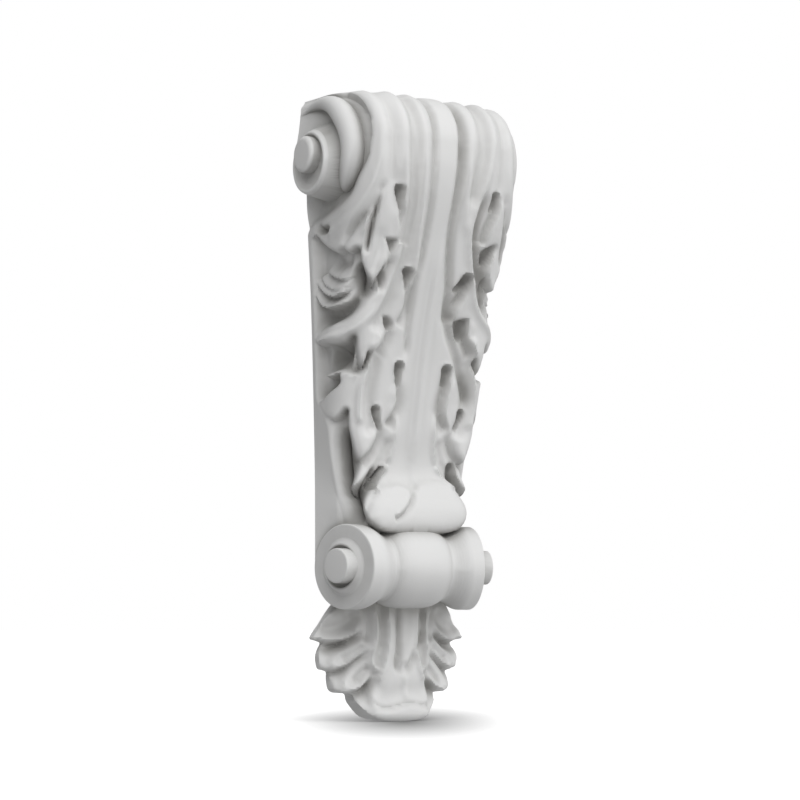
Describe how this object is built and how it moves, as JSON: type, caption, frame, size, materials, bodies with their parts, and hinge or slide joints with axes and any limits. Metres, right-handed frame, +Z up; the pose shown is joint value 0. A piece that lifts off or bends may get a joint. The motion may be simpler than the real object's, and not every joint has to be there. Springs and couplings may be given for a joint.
{
  "type": "corbel",
  "caption": "Carved acanthus corbel cast in one piece: a scroll bracket with side volutes, a leaf down its front, a turned roll and a hanging leaf, for fixing flat against a wall.",
  "frame": {"origin": "on the flat back, on the middle line, half way between the flat top and the tip of the hanging leaf", "axes": "+Y runs into the wall, so the carved front looks towards -Y; +Z is up, towards the shelf that the corbel carries; +X is to the viewer's right"},
  "size_m": [0.158, 0.0796, 0.4],
  "materials": {
    "cast_plaster": "matt white cast plaster"
  },
  "bodies": {
    "root": {"corbel": "cast_plaster"}
  },
  "joints": []
}
